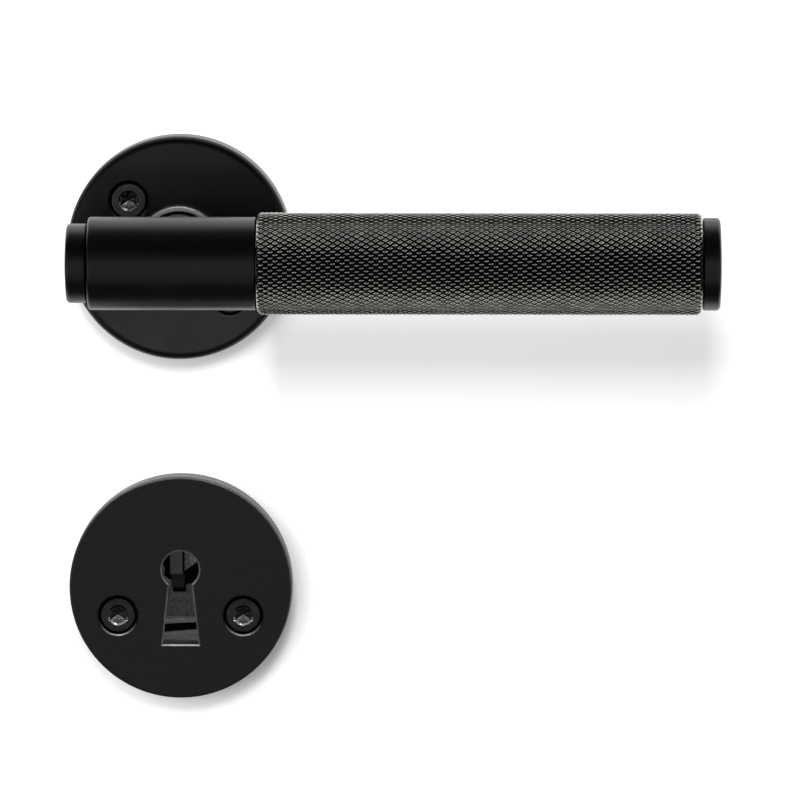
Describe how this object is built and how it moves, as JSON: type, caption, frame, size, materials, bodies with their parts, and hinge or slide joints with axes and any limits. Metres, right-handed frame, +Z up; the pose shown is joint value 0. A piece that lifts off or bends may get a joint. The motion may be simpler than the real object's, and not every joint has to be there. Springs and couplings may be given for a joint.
{
  "type": "lever handle lockset",
  "caption": "Mortise lever handle lockset with knurled lever handles on round roses, round keyhole escutcheons, spindle, spring latch and keyed deadbolt.",
  "frame": {"origin": "on the handle axis, in the middle plane of the door", "axes": "+X the way the levers point, away from the door edge; +Z up; -Y the outside of the door, +Y the inside"},
  "size_m": [0.1889, 0.1538, 0.175],
  "materials": {
    "satin_black": "satin powder coat",
    "knurled_black": "knurled, satin black",
    "satin_collar": "satin grey",
    "black_steel": "black oxide",
    "zinc_steel": "zinc plated",
    "spring_steel": "spring steel",
    "brass": "stamped",
    "grey_zamak": "die cast",
    "nickel": "satin nickel"
  },
  "bodies": {
    "lock": {"case_cover": "zinc_steel", "case_screw_1": "zinc_steel", "case_screw_2": "zinc_steel", "case_screw_3": "zinc_steel", "case_screw_4": "zinc_steel", "forend_plate": "nickel", "forend_screw_lower": "nickel", "forend_screw_upper": "nickel", "inside_collar": "satin_collar", "inside_key_base": "grey_zamak", "inside_key_cover": "satin_black", "inside_key_sleeve_nut_left": "black_steel", "inside_key_sleeve_nut_right": "black_steel", "inside_return_spring": "spring_steel", "inside_rose_base": "grey_zamak", "inside_rose_cover": "satin_black", "inside_rose_sleeve_nut_lower": "black_steel", "inside_rose_sleeve_nut_upper": "black_steel", "latch_spring": "spring_steel", "lock_case": "zinc_steel", "outside_collar": "satin_collar", "outside_key_base": "grey_zamak", "outside_key_cover": "satin_black", "outside_key_screw_left": "black_steel", "outside_key_screw_right": "black_steel", "outside_return_spring": "spring_steel", "outside_rose_base": "grey_zamak", "outside_rose_cover": "satin_black", "outside_rose_screw_lower": "black_steel", "outside_rose_screw_upper": "black_steel", "tumbler_spring_1": "spring_steel", "tumbler_spring_2": "spring_steel", "ward_plate": "zinc_steel"},
    "handle": {"outside_lever_barrel": "satin_black", "outside_grub_screw": "black_steel", "outside_grip_core": "zinc_steel", "outside_grip_sleeve": "knurled_black", "outside_end_cap": "satin_black", "outside_inner_cap": "satin_black", "outside_circlip": "spring_steel", "outside_spring_driver": "zinc_steel", "inside_lever_barrel": "satin_black", "inside_grub_screw": "black_steel", "inside_grip_core": "zinc_steel", "inside_grip_sleeve": "knurled_black", "inside_end_cap": "satin_black", "inside_inner_cap": "satin_black", "inside_circlip": "spring_steel", "inside_spring_driver": "zinc_steel", "spindle": "zinc_steel", "follower": "brass"},
    "latch": {"latch_bolt": "nickel"},
    "bolt": {"deadbolt": "nickel"},
    "tumbler_lever_1": {"tumbler_1": "brass"},
    "tumbler_lever_2": {"tumbler_2": "brass"},
    "flap": {"dust_flap": "black_steel"}
  },
  "joints": [
    {"name": "handle_turn", "type": "hinge", "parent": "lock", "child": "handle", "pos_m": [0, 0, 0], "axis": [0, 1, 0], "range_deg": [0, 40], "stiffness_Nm_per_rad": 1.2, "springref_deg": -51.57, "deforming": ["outside_return_spring", "inside_return_spring"]},
    {"name": "latch_slide", "type": "slide", "parent": "lock", "child": "latch", "axis": [1, 0, 0], "range_m": [0, 0.0115], "stiffness_N_per_m": 150, "springref_m": -0.02, "deforming": ["latch_spring"]},
    {"name": "deadbolt_slide", "type": "slide", "parent": "lock", "child": "bolt", "axis": [-1, 0, 0], "range_m": [0, 0.013]},
    {"name": "tumbler_1_lift", "type": "hinge", "parent": "lock", "child": "tumbler_lever_1", "pos_m": [0.018, 0, -0.049], "axis": [0, 1, 0], "range_deg": [0, 6.5], "deforming": ["tumbler_spring_1"]},
    {"name": "tumbler_2_lift", "type": "hinge", "parent": "lock", "child": "tumbler_lever_2", "pos_m": [0.018, 0, -0.049], "axis": [0, 1, 0], "range_deg": [0, 6.5], "deforming": ["tumbler_spring_2"]},
    {"name": "flap_swing", "type": "hinge", "parent": "lock", "child": "flap", "pos_m": [-0.0022, -0.0056, -0.0665], "axis": [0, 1, 0], "range_deg": [-50, 50]}
  ],
  "couplings": [
    {"joint": "latch_slide", "follows": "handle_turn", "m_per_rad": 0.01645},
    {"joint": "tumbler_1_lift", "follows": "deadbolt_slide", "rad_per_m": 8.7},
    {"joint": "tumbler_2_lift", "follows": "deadbolt_slide", "rad_per_m": 8.7}
  ]
}
